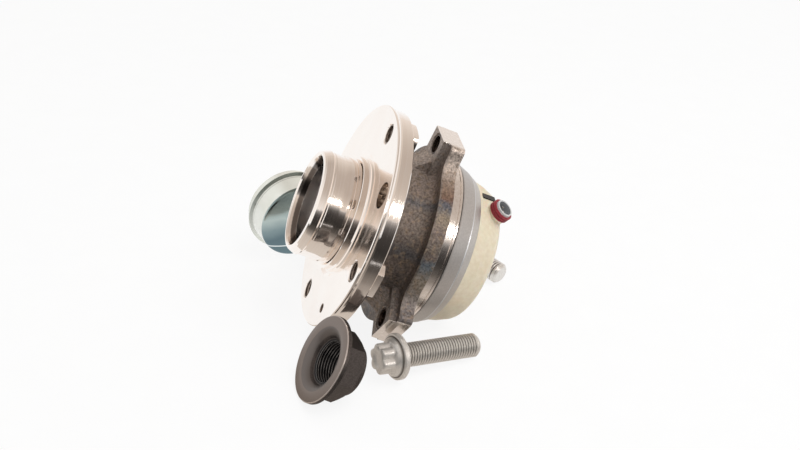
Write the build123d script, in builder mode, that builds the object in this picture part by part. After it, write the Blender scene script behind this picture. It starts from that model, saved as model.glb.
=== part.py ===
from build123d import *
import os
from math import atan2, cos, degrees, radians, sin, sqrt

# Driven front wheel hub and bearing with its fitting kit, lying on a bench. Millimetres, +Z up.
# The hub axis crosses the wheel face at the origin and runs back and down along +X.
# Stations along that axis count from the wheel face: minus is the wheel side, plus the car side.
# Turns round it count in degrees from straight up, towards the front of the bench.

# ---- How it lies ----
LEAN = 21.3  # the hub axis from level, degrees: it rests on the wheel flange and the rear ring

# ---- Wheel side of the hub ----
FLANGE_RADIUS = 59.0
FLANGE_THICK = 9.25
FLANGE_LIP = 0.8  # the front lip over the rest of the rim
WEB_BACK = 9.8  # the flange thickens to this near the seal
BOLT_CIRCLE = 50.0  # radius: wheel bolts on 4 x 100
BOLT_COUNT = 4
BOLT_TURN = 5.0  # first hole from straight up, towards the front of the bench
BOLT_CORE = 5.25  # M12 x 1.5 before its thread
HOLE_CHAMFER = 0.4
PAD_RADIUS = 9.0
PAD_HEIGHT = 3.35
PAD_TRIM = 1.4  # the pads short of the flange's rim
ACCESS_RADIUS = 6.5
ACCESS_TURN = 50.0
SCREW_CORE = 2.5  # M6 brake disc screw
SCREW_TURN = 140.0
CAP_BORE = 22.5
CAP_LEAD = 5.0  # the bore flares from here to the nose
SPIGOT_WALL = 4.7
SPIGOT_LENGTH = 23.3
WHEEL_PILOT_STEP = 1.0  # the wheel pilot over the spigot's neck
DISC_PILOT_STEP = 1.8  # the brake disc pilot over the wheel pilot
NUT_SEAT = 3.0
UNDERCUT = 0.4  # the tool's run-out at the foot of the cap's bore
SPLINE_TEETH = 30
SPLINE_MINOR = 11.9
SPLINE_DEPTH = 1.0
SHAFT_PILOT = 13.2
SHAFT_PILOT_LENGTH = 6.0

# ---- Bearing ----
PITCH_RADIUS = 29.0
BALL_RADIUS = 5.95
BALL_COUNT = 13
RACE_PLAY = 0.25
ROW_GAP = 3.1  # between the two rows' balls
SHOULDER = 2.5  # race shoulders from the pitch radius
RELIEF = 5.2  # the open side of each race from the pitch radius
CAGE_HALF = 1.4
CAGE_RAIL = 1.05  # closed side, past the balls
CAGE_MOUTH = 3.5  # open side, from the balls' centres
SEAT_WALL = 5.3  # inner ring wall over the stem, under its relieved side
SEAL_WIDTH = 3.6
SEAL_PLAY = 0.4  # balls to the seal cases
SEAL_SPACE = 5.45  # inner ring past the rear row's balls
FIT = 0.02  # pressed and bonded seats
LIP_GAP = 0.25  # rubber lips to what they run on
STEEL = 0.6  # seal steel

# ---- Outer ring ----
RING_FRONT = 11.4
BARREL_WALL = 5.6
PLATE_THICK = 7.5
PLATE_STEP = 2.4  # the plate's edge over the knuckle pilot: level with the flange, so the unit lies on both
PILOT_STEP = 5.2  # the knuckle pilot over the barrel
PILOT_LENGTH = 6.0
LIP_LENGTH = 5.5
LIP_WALL = 2.5
EAR_COUNT = 3
EAR_HOLE_OUT = 4.6  # ear holes over the plate's edge
EAR_END_OUT = 6.2  # ear ends over their holes
EAR_WIDTH = 26.0
EAR_THICK = 11.5
BOSS_WIDTH = 20.0  # the ears' thick front part
EAR_CORE = 5.25  # M12 before its thread
RIB_WIDTH = 15.0

# ---- Rear ring, cover and sensor ----
GASKET = 0.6
SEAM_STEP = 0.6  # the gasket and rear ring under the knuckle pilot, so that a knuckle clears them
REAR_RING_LENGTH = 12.8
REAR_RING_WALL = 2.2
COVER_LENGTH = 15.4  # past the rear ring
COVER_WALL = 2.0
PORT_RADIUS = 24.4
SENSOR_GAP = 1.0
SENSOR_TURN = 5.0
FLAT_TURN = 8.0
PLUG_TURN = 22.0
PLUG_TILT = 15.0
PLUG_RADIUS = 4.7
PLUG_BORE = 3.8
PLUG_LENGTH = 5.0

# ---- Worked out ----
AXIS = Vector(1, 0, 0).rotate(Axis.Y, LEAN)
UP = Vector(0, 0, 1).rotate(Axis.Y, LEAN)
HUB_AXIS = Axis((0, 0, 0), AXIS)
HUB = Plane(origin=(0, 0, 0), x_dir=UP, z_dir=AXIS)  # across the axis at the wheel face
SECTION = Plane(origin=(0, 0, 0), x_dir=AXIS, z_dir=(0, -1, 0))  # through the axis
RIM = FLANGE_RADIUS - FLANGE_LIP
BENCH = -FLANGE_THICK * sin(radians(LEAN)) - RIM * cos(radians(LEAN))

RACE_RADIUS = BALL_RADIUS + RACE_PLAY
FRONT_ROW = RING_FRONT + SEAL_WIDTH + SEAL_PLAY + BALL_RADIUS - 0.05
REAR_ROW = FRONT_ROW + 2 * BALL_RADIUS + ROW_GAP
RAIL = BALL_RADIUS + CAGE_RAIL
INNER_SHOULDER = PITCH_RADIUS - SHOULDER
OUTER_SHOULDER = PITCH_RADIUS + SHOULDER
INNER_RELIEF = PITCH_RADIUS - RELIEF
OUTER_RELIEF = PITCH_RADIUS + RELIEF
STEM = INNER_RELIEF - SEAT_WALL
STEM_SHOULDER = (FRONT_ROW + REAR_ROW) / 2 - 0.1
INNER_END = REAR_ROW + BALL_RADIUS + SEAL_SPACE
FRONT_SEAT = OUTER_RELIEF + 1.8  # seal seat radii
REAR_SEAT = OUTER_RELIEF + 2.3
BARREL = OUTER_RELIEF + BARREL_WALL
KNUCKLE_PILOT = BARREL + PILOT_STEP
PLATE_RADIUS = KNUCKLE_PILOT + PLATE_STEP
EAR_CIRCLE = PLATE_RADIUS + EAR_HOLE_OUT
EAR_REACH = EAR_CIRCLE + EAR_END_OUT
LIP_RADIUS = REAR_SEAT + LIP_WALL
LIP_END = INNER_END + 0.7
PILOT_END = LIP_END - LIP_LENGTH
PLATE_BACK = PILOT_END - PILOT_LENGTH  # the face that bolts to the knuckle
PLATE_FRONT = PLATE_BACK - PLATE_THICK
EAR_FRONT = PLATE_BACK - EAR_THICK
REAR_RING_FRONT = PILOT_END + GASKET + 0.1
REAR_RING_END = REAR_RING_FRONT + REAR_RING_LENGTH
COVER_END = REAR_RING_END + COVER_LENGTH
SPIGOT = CAP_BORE + SPIGOT_WALL
WHEEL_PILOT = SPIGOT + WHEEL_PILOT_STEP
DISC_PILOT = WHEEL_PILOT + DISC_PILOT_STEP


def across(depth):
    """Half the width of a race groove where it is this far from the pitch radius."""
    return sqrt(RACE_RADIUS**2 - depth**2)


def section(plane, *points):
    """A closed section on a plane through an axis, as (along, radius) points, ready to turn."""
    with BuildSketch(plane) as outline:
        with BuildLine():
            Polyline(*points, close=True)
        make_face()
    return outline.sketch


def radial(turn):
    """A plane through the hub axis, turned from straight up."""
    return Plane(origin=(0, 0, 0), x_dir=AXIS, z_dir=AXIS.cross(UP.rotate(HUB_AXIS, turn)))


def outward(along, radius, turn, tilt=0.0):
    """A plane that faces out from the hub axis, or leans back from that by a tilt."""
    side = radial(turn)
    lean = Axis((0, 0, 0), side.z_dir)
    return Plane(
        origin=side.from_local_coords((along, radius, 0)),
        x_dir=side.x_dir.rotate(lean, -tilt),
        z_dir=side.y_dir.rotate(lean, -tilt),
    )


def round_edges(body, radius):
    """A body's circular edges of one radius."""
    return [e for e in body.edges().filter_by(GeomType.CIRCLE) if abs(e.radius - radius) < 0.01]


# ---- Hub: one forging, turned all over. Spigot, wheel flange, front inner race and stem ----
nose = -SPIGOT_LENGTH
with BuildPart() as hub_flange:
    with BuildSketch(SECTION):
        with BuildLine():
            Polyline(
                (nose, CAP_BORE + 1.6),
                (nose, SPIGOT - 2.3),
                (nose + 0.4, SPIGOT - 1.5),
                (nose + 1.2, SPIGOT - 0.9),
                (nose + 3.0, SPIGOT - 0.1),
                (nose + 4.2, SPIGOT + 0.4),
                (nose + 4.9, SPIGOT + 0.1),
                (nose + 5.1, SPIGOT - 0.25),
                (nose + 5.8, SPIGOT - 0.25),
                (nose + 6.2, SPIGOT),
                (nose + 11.7, SPIGOT),
            )
            Spline(
                (nose + 11.7, SPIGOT),
                (nose + 13.5, SPIGOT + 0.15),
                (nose + 15.3, SPIGOT + 0.4),
                tangents=((1, 0), (1, 0)),
            )
            Polyline(
                (nose + 15.3, SPIGOT + 0.4),
                (-7.3, SPIGOT + 0.4),
                (-7.0, SPIGOT),
                (-6.4, SPIGOT),
                (-6.1, WHEEL_PILOT),
                (-4.9, WHEEL_PILOT),
                (-4.7, SPIGOT + 0.1),
                (-4.3, SPIGOT + 0.1),
                (-4.3, DISC_PILOT - 0.3),
                (-4.0, DISC_PILOT),
                (-1.8, DISC_PILOT),
                (-1.2, DISC_PILOT - 0.7),
                (-0.5, DISC_PILOT - 0.1),
                (0.2, DISC_PILOT - 0.1),
                (1.2, DISC_PILOT + 0.4),
                (1.2, DISC_PILOT + 1.6),
                (0, DISC_PILOT + 3.2),
                (0, FLANGE_RADIUS - 0.4),
                (0.4, FLANGE_RADIUS),
                (1.0, FLANGE_RADIUS),
                (2.0, RIM + 0.2),
                (3.0, RIM),
                (FLANGE_THICK - 0.5, RIM),
                (FLANGE_THICK, RIM - 0.5),
                (FLANGE_THICK, RIM - 3),
                (WEB_BACK - 0.4, BARREL + 2),
                (WEB_BACK, FRONT_SEAT + 1),
                (WEB_BACK, INNER_SHOULDER + 2),
            )
            RadiusArc(
                (WEB_BACK, INNER_SHOULDER + 2), (WEB_BACK + 2, INNER_SHOULDER), 2
            )
            Line(
                (WEB_BACK + 2, INNER_SHOULDER),
                (FRONT_ROW - across(SHOULDER), INNER_SHOULDER),
            )
            ThreePointArc(
                (FRONT_ROW - across(SHOULDER), INNER_SHOULDER),
                (FRONT_ROW, PITCH_RADIUS - RACE_RADIUS),
                (FRONT_ROW + across(RELIEF), INNER_RELIEF),
            )
            Polyline(
                (FRONT_ROW + across(RELIEF), INNER_RELIEF),
                (STEM_SHOULDER, INNER_RELIEF),
                (STEM_SHOULDER, STEM),
                (INNER_END - 1.3, STEM),
                (INNER_END - 0.5, STEM - 0.8),
                (INNER_END - 0.5, SHAFT_PILOT + 0.7),
                (INNER_END - 1.2, SHAFT_PILOT),
                (INNER_END - SHAFT_PILOT_LENGTH, SHAFT_PILOT),
                (INNER_END - SHAFT_PILOT_LENGTH - 1, SPLINE_MINOR),
                (NUT_SEAT + 4.8, SPLINE_MINOR),
                (NUT_SEAT + 4, SHAFT_PILOT),
                (NUT_SEAT, SHAFT_PILOT),
                (NUT_SEAT, CAP_BORE - 0.9),
                (NUT_SEAT + 0.5, CAP_BORE - 0.5),
                (NUT_SEAT + 0.5, CAP_BORE + 0.1),
                (NUT_SEAT + 0.1, CAP_BORE + UNDERCUT),
                (NUT_SEAT - 0.9, CAP_BORE + UNDERCUT),
                (NUT_SEAT - 1.3, CAP_BORE),
                (nose + CAP_LEAD, CAP_BORE),
                (nose + 0.8, CAP_BORE + 1.1),
                (nose, CAP_BORE + 1.6),
            )
        make_face()
    revolve(axis=HUB_AXIS)

    # Pads behind the bolt holes, trimmed to the flange
    with BuildSketch(HUB.offset(FLANGE_THICK - 0.6)):
        with PolarLocations(BOLT_CIRCLE, BOLT_COUNT, start_angle=BOLT_TURN):
            Circle(PAD_RADIUS)
        Circle(RIM - PAD_TRIM, mode=Mode.INTERSECT)
    extrude(amount=PAD_HEIGHT + 0.6)

    with Locations(HUB.offset(FLANGE_THICK + PAD_HEIGHT)):
        with PolarLocations(BOLT_CIRCLE, BOLT_COUNT, start_angle=BOLT_TURN):
            Hole(BOLT_CORE)
        with PolarLocations(BOLT_CIRCLE, 1, start_angle=ACCESS_TURN):
            Hole(ACCESS_RADIUS)
        with PolarLocations(BOLT_CIRCLE, 1, start_angle=SCREW_TURN):
            Hole(SCREW_CORE)
    chamfer(round_edges(hub_flange, BOLT_CORE), HOLE_CHAMFER)

    # Internal spline for the drive shaft
    with BuildSketch(HUB.offset(NUT_SEAT + 2)):
        with PolarLocations(SPLINE_MINOR + SPLINE_DEPTH / 2 - 0.1, SPLINE_TEETH):
            Trapezoid(1.5, SPLINE_DEPTH + 0.2, 75, rotation=-90)
    extrude(amount=INNER_END - NUT_SEAT - 4, mode=Mode.SUBTRACT)


# ---- Inner ring: the rear race, pressed on the stem ----
with BuildPart() as inner_ring:
    with BuildSketch(SECTION):
        with BuildLine():
            Polyline(
                (REAR_ROW - across(RELIEF), INNER_RELIEF),
                (STEM_SHOULDER + 0.05, INNER_RELIEF),
                (STEM_SHOULDER + 0.05, STEM + FIT),
                (INNER_END, STEM + FIT),
                (INNER_END, INNER_SHOULDER - 0.6),
                (INNER_END - 0.6, INNER_SHOULDER),
                (REAR_ROW + across(SHOULDER), INNER_SHOULDER),
            )
            ThreePointArc(
                (REAR_ROW + across(SHOULDER), INNER_SHOULDER),
                (REAR_ROW, PITCH_RADIUS - RACE_RADIUS),
                (REAR_ROW - across(RELIEF), INNER_RELIEF),
            )
        make_face()
    revolve(axis=HUB_AXIS)


# ---- Outer ring: forged barrel with both outer races, three-eared plate and knuckle pilot ----
with BuildPart() as outer_ring:
    with BuildSketch(SECTION):
        with BuildLine():
            Polyline(
                (RING_FRONT + SEAL_WIDTH + 0.1, FRONT_SEAT),
                (RING_FRONT, FRONT_SEAT),
                (RING_FRONT, BARREL - 1),
                (RING_FRONT + 1, BARREL),
                (PLATE_FRONT - 4, BARREL),
            )
            RadiusArc((PLATE_FRONT - 4, BARREL), (PLATE_FRONT, BARREL + 4), -4)
            Polyline(
                (PLATE_FRONT, BARREL + 4),
                (PLATE_FRONT, KNUCKLE_PILOT + 1),
                (PLATE_BACK, KNUCKLE_PILOT + 1),
                (PLATE_BACK, KNUCKLE_PILOT),
                (PILOT_END - 1.6, KNUCKLE_PILOT),
                (PILOT_END - 1.6, KNUCKLE_PILOT - 0.5),
                (PILOT_END - 1.1, KNUCKLE_PILOT - 0.5),
                (PILOT_END - 1.1, KNUCKLE_PILOT),
                (PILOT_END, KNUCKLE_PILOT),
                (PILOT_END, LIP_RADIUS),
                (LIP_END, LIP_RADIUS),
                (LIP_END, REAR_SEAT),
                (REAR_ROW + BALL_RADIUS + SEAL_PLAY - 0.05, REAR_SEAT),
                (REAR_ROW + BALL_RADIUS + SEAL_PLAY - 0.05, OUTER_RELIEF),
                (REAR_ROW + across(RELIEF), OUTER_RELIEF),
            )
            ThreePointArc(
                (REAR_ROW + across(RELIEF), OUTER_RELIEF),
                (REAR_ROW, PITCH_RADIUS + RACE_RADIUS),
                (REAR_ROW - across(SHOULDER), OUTER_SHOULDER),
            )
            Line(
                (REAR_ROW - across(SHOULDER), OUTER_SHOULDER),
                (FRONT_ROW + across(SHOULDER), OUTER_SHOULDER),
            )
            ThreePointArc(
                (FRONT_ROW + across(SHOULDER), OUTER_SHOULDER),
                (FRONT_ROW, PITCH_RADIUS + RACE_RADIUS),
                (FRONT_ROW - across(RELIEF), OUTER_RELIEF),
            )
            Polyline(
                (FRONT_ROW - across(RELIEF), OUTER_RELIEF),
                (RING_FRONT + SEAL_WIDTH + 0.1, OUTER_RELIEF),
                (RING_FRONT + SEAL_WIDTH + 0.1, FRONT_SEAT),
            )
        make_face()
    revolve(axis=HUB_AXIS)

    # The plate: a disc that flows into three ears
    with BuildSketch(HUB.offset(PLATE_FRONT)) as plate:
        Circle(PLATE_RADIUS)
        with PolarLocations(0, EAR_COUNT):
            Rectangle(EAR_REACH, EAR_WIDTH, align=(Align.MIN, Align.CENTER))
        fillet([v for v in plate.vertices() if v.center().length > PLATE_RADIUS + 1], 3)
        fillet([v for v in plate.vertices() if abs(v.center().length - PLATE_RADIUS) < 0.1], 13)
        Circle(KNUCKLE_PILOT, mode=Mode.SUBTRACT)
    extrude(amount=PLATE_THICK)

    # Thick bosses on the ears' front, each with a rib that runs down to the barrel
    with BuildSketch(HUB.offset(EAR_FRONT)):
        with PolarLocations(BARREL - 1, EAR_COUNT):
            Rectangle(EAR_REACH - BARREL + 1, BOSS_WIDTH, align=(Align.MIN, Align.CENTER))
    extrude(amount=PLATE_FRONT - EAR_FRONT + 0.5)
    for ear in range(EAR_COUNT):
        with BuildSketch(radial(360 / EAR_COUNT * ear)):
            with BuildLine():
                Polyline(
                    (EAR_FRONT - 8, BARREL - 1),
                    (EAR_FRONT, EAR_CIRCLE - EAR_CORE - 1.5),
                    (EAR_FRONT + 1, EAR_CIRCLE - EAR_CORE - 1.5),
                    (EAR_FRONT + 1, BARREL - 1),
                    close=True,
                )
            make_face()
        extrude(amount=RIB_WIDTH / 2, both=True)

    with Locations(HUB.offset(PLATE_BACK)):
        with PolarLocations(EAR_CIRCLE, EAR_COUNT):
            Hole(EAR_CORE, depth=EAR_THICK + 1)
    chamfer(round_edges(outer_ring, EAR_CORE), 0.7)


# ---- Balls and cages: a full row each side, every ball in its pocket ----
with BuildPart() as outboard_balls:
    with Locations(HUB.offset(FRONT_ROW)):
        with PolarLocations(PITCH_RADIUS, BALL_COUNT):
            Sphere(BALL_RADIUS)

with BuildPart() as inboard_balls:
    with Locations(HUB.offset(REAR_ROW)):
        with PolarLocations(PITCH_RADIUS, BALL_COUNT):
            Sphere(BALL_RADIUS)

with BuildPart() as outboard_cage:
    with BuildSketch(HUB.offset(FRONT_ROW - CAGE_MOUTH)):
        Circle(PITCH_RADIUS + CAGE_HALF)
        Circle(PITCH_RADIUS - CAGE_HALF, mode=Mode.SUBTRACT)
    extrude(amount=CAGE_MOUTH + RAIL)
    with Locations(HUB.offset(FRONT_ROW)):
        with PolarLocations(PITCH_RADIUS, BALL_COUNT):
            Sphere(BALL_RADIUS + 0.15, mode=Mode.SUBTRACT)

with BuildPart() as inboard_cage:
    with BuildSketch(HUB.offset(REAR_ROW - RAIL)):
        Circle(PITCH_RADIUS + CAGE_HALF)
        Circle(PITCH_RADIUS - CAGE_HALF, mode=Mode.SUBTRACT)
    extrude(amount=RAIL + CAGE_MOUTH)
    with Locations(HUB.offset(REAR_ROW)):
        with PolarLocations(PITCH_RADIUS, BALL_COUNT):
            Sphere(BALL_RADIUS + 0.15, mode=Mode.SUBTRACT)


# ---- Wheel-side seal: a steel case pressed in the outer ring, with rubber lips ----
case_back = RING_FRONT + SEAL_WIDTH
with BuildPart() as outboard_seal_case:
    revolve(
        section(
            SECTION,
            (RING_FRONT + 0.2, FRONT_SEAT - FIT),
            (case_back, FRONT_SEAT - FIT),
            (case_back, INNER_SHOULDER + 3.5),
            (case_back - STEEL, INNER_SHOULDER + 3.5),
            (case_back - STEEL, FRONT_SEAT - STEEL),
            (RING_FRONT + 0.2, FRONT_SEAT - STEEL),
        ),
        axis=HUB_AXIS,
    )

lip_root = case_back - STEEL - FIT
with BuildPart() as outboard_seal_lip:
    revolve(
        section(
            SECTION,
            (lip_root, FRONT_SEAT - 2.2),
            (lip_root - 0.8, FRONT_SEAT - 2.2),
            (WEB_BACK + LIP_GAP + 0.1, FRONT_SEAT - 1.1),
            (WEB_BACK + LIP_GAP, FRONT_SEAT - 1.5),
            (lip_root - 1.2, FRONT_SEAT - 3.1),
            (lip_root - 1.2, INNER_SHOULDER + 3),
            (WEB_BACK + 2.8, INNER_SHOULDER + LIP_GAP + 0.15),
            (WEB_BACK + 3.2, INNER_SHOULDER + LIP_GAP),
            (lip_root - 0.4, INNER_SHOULDER + 1.9),
            (case_back, INNER_SHOULDER + 2.3),
            (case_back, INNER_SHOULDER + 3.5 - FIT),
            (lip_root, INNER_SHOULDER + 3.5 - FIT),
        ),
        axis=HUB_AXIS,
    )


# ---- Car-side seal: case and lips in the outer ring, flinger and magnet ring on the inner ring ----
case_front = REAR_ROW + BALL_RADIUS + SEAL_PLAY
flinger_back = INNER_END - 0.7
with BuildPart() as inboard_seal_case:
    revolve(
        section(
            SECTION,
            (case_front, REAR_SEAT - FIT),
            (flinger_back - 1, REAR_SEAT - FIT),
            (flinger_back - 1, REAR_SEAT - STEEL),
            (case_front + STEEL, REAR_SEAT - STEEL),
            (case_front + STEEL, INNER_SHOULDER + 4.5),
            (case_front, INNER_SHOULDER + 4.5),
        ),
        axis=HUB_AXIS,
    )

with BuildPart() as inboard_flinger:
    revolve(
        section(
            SECTION,
            (REAR_ROW + across(SHOULDER) + 0.3, INNER_SHOULDER + FIT),
            (flinger_back, INNER_SHOULDER + FIT),
            (flinger_back, REAR_SEAT - 1.3),
            (flinger_back - STEEL, REAR_SEAT - 1.3),
            (flinger_back - STEEL, INNER_SHOULDER + STEEL),
            (REAR_ROW + across(SHOULDER) + 0.3, INNER_SHOULDER + STEEL),
        ),
        axis=HUB_AXIS,
    )

rear_root = case_front + STEEL + FIT
lip_tip = flinger_back - STEEL - LIP_GAP
with BuildPart() as inboard_seal_lip:
    revolve(
        section(
            SECTION,
            (rear_root, REAR_SEAT - 1.7),
            (rear_root + 0.8, REAR_SEAT - 1.7),
            (lip_tip, REAR_SEAT - 2.4),
            (lip_tip, REAR_SEAT - 2.9),
            (rear_root + 1.2, REAR_SEAT - 3.5),
            (rear_root + 1.2, INNER_SHOULDER + 3.5),
            (lip_tip - 0.9, INNER_SHOULDER + STEEL + LIP_GAP + 0.2),
            (lip_tip - 1.2, INNER_SHOULDER + STEEL + LIP_GAP),
            (rear_root + 0.3, INNER_SHOULDER + 2.1),
            (case_front, INNER_SHOULDER + 2.4),
            (case_front, INNER_SHOULDER + 4.5 - FIT),
            (rear_root, INNER_SHOULDER + 4.5 - FIT),
        ),
        axis=HUB_AXIS,
    )

with BuildPart() as encoder_ring:
    revolve(
        section(
            SECTION,
            (flinger_back + FIT, INNER_SHOULDER + 2),
            (flinger_back + 1, INNER_SHOULDER + 2),
            (flinger_back + 1, REAR_SEAT - 1.3),
            (flinger_back + FIT, REAR_SEAT - 1.3),
        ),
        axis=HUB_AXIS,
    )


# ---- Rear ring: pressed steel in two bands, on a thin gasket behind the knuckle pilot ----
with BuildPart() as seam_gasket:
    revolve(
        section(
            SECTION,
            (PILOT_END + 0.05, LIP_RADIUS + 0.05),
            (PILOT_END + 0.05, KNUCKLE_PILOT - SEAM_STEP),
            (PILOT_END + 0.05 + GASKET, KNUCKLE_PILOT - SEAM_STEP),
            (PILOT_END + 0.05 + GASKET, LIP_RADIUS + 0.05),
        ),
        axis=HUB_AXIS,
    )

band = REAR_RING_FRONT + 0.62 * REAR_RING_LENGTH
with BuildPart() as cover_ring:
    revolve(
        section(
            SECTION,
            (REAR_RING_FRONT, LIP_RADIUS + FIT),
            (REAR_RING_FRONT, KNUCKLE_PILOT - SEAM_STEP - 0.2),
            (REAR_RING_FRONT + 0.5, KNUCKLE_PILOT - SEAM_STEP),
            (band, KNUCKLE_PILOT - 3.3),
            (band + 0.2, KNUCKLE_PILOT - 3.7),
            (band + 0.6, KNUCKLE_PILOT - 3.7),
            (REAR_RING_END - 0.6, KNUCKLE_PILOT - 5.6),
            (REAR_RING_END, KNUCKLE_PILOT - 6.2),
            (REAR_RING_END, LIP_RADIUS - REAR_RING_WALL),
            (LIP_END + 0.1, LIP_RADIUS - REAR_RING_WALL),
            (LIP_END + 0.1, LIP_RADIUS + FIT),
        ),
        axis=HUB_AXIS,
    )


# ---- Sensor cover: a moulded cup with a central port for the drive shaft joint ----
skirt = LIP_RADIUS - REAR_RING_WALL - 0.05
inside = skirt - COVER_WALL
plug = outward(COVER_END - 3.3, LIP_RADIUS + 2.8, PLUG_TURN, PLUG_TILT)
with BuildPart() as sensor_cover:
    with BuildSketch(SECTION):
        with BuildLine():
            Polyline(
                (LIP_END + 1.6, inside),
                (LIP_END + 1.6, skirt),
                (REAR_RING_END + 0.05, skirt),
                (REAR_RING_END + 0.05, LIP_RADIUS - 0.3),
                (REAR_RING_END + 6, LIP_RADIUS - 1.6),
                (REAR_RING_END + 10, LIP_RADIUS - 3.2),
            )
            ThreePointArc(
                (REAR_RING_END + 10, LIP_RADIUS - 3.2),
                (COVER_END - 1.6, LIP_RADIUS - 5.6),
                (COVER_END, LIP_RADIUS - 8.5),
            )
            Polyline(
                (COVER_END, LIP_RADIUS - 8.5),
                (COVER_END, PORT_RADIUS + 0.8),
                (COVER_END - 0.8, PORT_RADIUS),
                (INNER_END + 2.4, PORT_RADIUS),
                (INNER_END + 2.4, PORT_RADIUS + COVER_WALL),
                (COVER_END - COVER_WALL, PORT_RADIUS + COVER_WALL),
                (COVER_END - COVER_WALL, LIP_RADIUS - 8.7),
            )
            Spline(
                (COVER_END - COVER_WALL, LIP_RADIUS - 8.7),
                (COVER_END - COVER_WALL - 2.2, inside - 1.7),
                (REAR_RING_END + 8, inside),
                tangents=((-0.3, 1), (-1, 0)),
            )
            Line((REAR_RING_END + 8, inside), (LIP_END + 1.6, inside))
        make_face()
    revolve(axis=HUB_AXIS)

    # A flat on top for the sensor, and its pocket
    with BuildSketch(outward(REAR_RING_END + 1.6, LIP_RADIUS - 2.8, FLAT_TURN)):
        Rectangle(30, 60, align=(Align.MIN, Align.CENTER))
    extrude(amount=12, mode=Mode.SUBTRACT)
    with BuildSketch(outward(REAR_RING_END + 7, LIP_RADIUS, SENSOR_TURN)):
        Rectangle(7.1, 4.1)
    extrude(amount=-6, mode=Mode.SUBTRACT)

    # The boss that carries the plug socket
    with BuildSketch(plug.offset(-PLUG_LENGTH - 0.05)):
        Circle(PLUG_RADIUS + 0.6)
    extrude(amount=-4.6)
    with BuildSketch(plug.offset(-PLUG_LENGTH - 0.05)):
        Circle(PLUG_RADIUS - 1.05)
    extrude(amount=-8, mode=Mode.SUBTRACT)

with BuildPart() as speed_sensor:
    with BuildSketch(HUB.offset(flinger_back + 1 + SENSOR_GAP)):
        with PolarLocations(PITCH_RADIUS + 1.6, 1, start_angle=SENSOR_TURN):
            Rectangle(6, 6)
    extrude(amount=REAR_RING_END + 8.6 - flinger_back - 1 - SENSOR_GAP)
    with BuildSketch(outward(REAR_RING_END + 7, LIP_RADIUS - 2.2, SENSOR_TURN)):
        Rectangle(7, 4)
    extrude(amount=-6)


# ---- Plug socket on the cover, its two pins and its ribbed seal ----
with BuildPart() as connector_socket:
    with BuildSketch(plug):
        Circle(PLUG_RADIUS)
    extrude(amount=-PLUG_LENGTH)
    with BuildSketch(plug.offset(-PLUG_LENGTH)):
        Circle(PLUG_RADIUS - 1.1)
    extrude(amount=-5)
    with BuildSketch(plug):
        Circle(PLUG_BORE)
    extrude(amount=-4.5, mode=Mode.SUBTRACT)
    with BuildSketch(plug.offset(-4)):
        with Locations((0, 1.6), (0, -1.6)):
            Circle(0.6 + FIT)
    extrude(amount=-7, mode=Mode.SUBTRACT)

with BuildPart() as contact_pins:
    with BuildSketch(plug.offset(-1.4)):
        with Locations((0, 1.6), (0, -1.6)):
            Circle(0.6)
    extrude(amount=-8)

rib = (PLUG_LENGTH - 1.2) / 3
with BuildPart() as connector_seal:
    with BuildSketch(plug.offset(-PLUG_LENGTH + 0.05)):
        Circle(PLUG_RADIUS + 0.85)
        Circle(PLUG_RADIUS + FIT, mode=Mode.SUBTRACT)
    extrude(amount=3 * rib)
    for step in range(3):
        with BuildSketch(plug.offset(-PLUG_LENGTH + 0.05 + rib * (step + 0.25))):
            Circle(PLUG_RADIUS + 1.25)
            Circle(PLUG_RADIUS + 0.5, mode=Mode.SUBTRACT)
        extrude(amount=rib / 2)


# ---- Kit pieces lie on the bench, each about its own axis ----
def lying(spot, bearing, fall):
    """Planes through and across an axis that starts at a spot, points to a bearing and falls."""
    along = Vector(1, 0, 0).rotate(Axis.Y, fall).rotate(Axis.Z, bearing)
    through = Plane(origin=spot, x_dir=along, z_dir=along.cross(Vector(0, 0, 1)))
    return through, Plane(origin=spot, x_dir=through.y_dir, z_dir=along)


# ---- Dust cap: drawn steel cup, standing on its brim's edge, closed end to the front ----
CAP_BRIM = 24.5
CAP_DEPTH = 14.4
CAP_SKIRT = 5.0
CAP_STEEL = 0.8
CAP_BEARING = -69.0
CAP_FALL = 5.0
cap_spot = (-25.2, 69.5, BENCH + CAP_BRIM * cos(radians(CAP_FALL)))
cap_through, cap_across = lying(cap_spot, CAP_BEARING, CAP_FALL)
cap_wall = CAP_BORE - 0.05
with BuildPart() as dust_cap:
    with BuildSketch(cap_through):
        with BuildLine():
            Polyline(
                (CAP_DEPTH, 0),
                (CAP_DEPTH, cap_wall - 2.0),
            )
            RadiusArc(
                (CAP_DEPTH, cap_wall - 2.0), (CAP_DEPTH - 1.6, cap_wall - 0.4), -1.6
            )
            Polyline(
                (CAP_DEPTH - 1.6, cap_wall - 0.4),
                (1.6, cap_wall - 0.1),
                (1.0, cap_wall + 0.4),
                (1.0, CAP_BRIM),
                (0, CAP_BRIM),
                (0, cap_wall),
                (-CAP_SKIRT, cap_wall),
                (-CAP_SKIRT, cap_wall - CAP_STEEL),
                (0, cap_wall - CAP_STEEL),
                (CAP_DEPTH - 1.6, cap_wall - 0.4 - CAP_STEEL),
            )
            RadiusArc(
                (CAP_DEPTH - 1.6, cap_wall - 0.4 - CAP_STEEL),
                (CAP_DEPTH - CAP_STEEL, cap_wall - 2.0),
                0.8,
            )
            Polyline(
                (CAP_DEPTH - CAP_STEEL, cap_wall - 2.0),
                (CAP_DEPTH - CAP_STEEL, 0),
                (CAP_DEPTH, 0),
            )
        make_face()
    revolve(axis=Axis(cap_through.origin, cap_through.x_dir))


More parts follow.
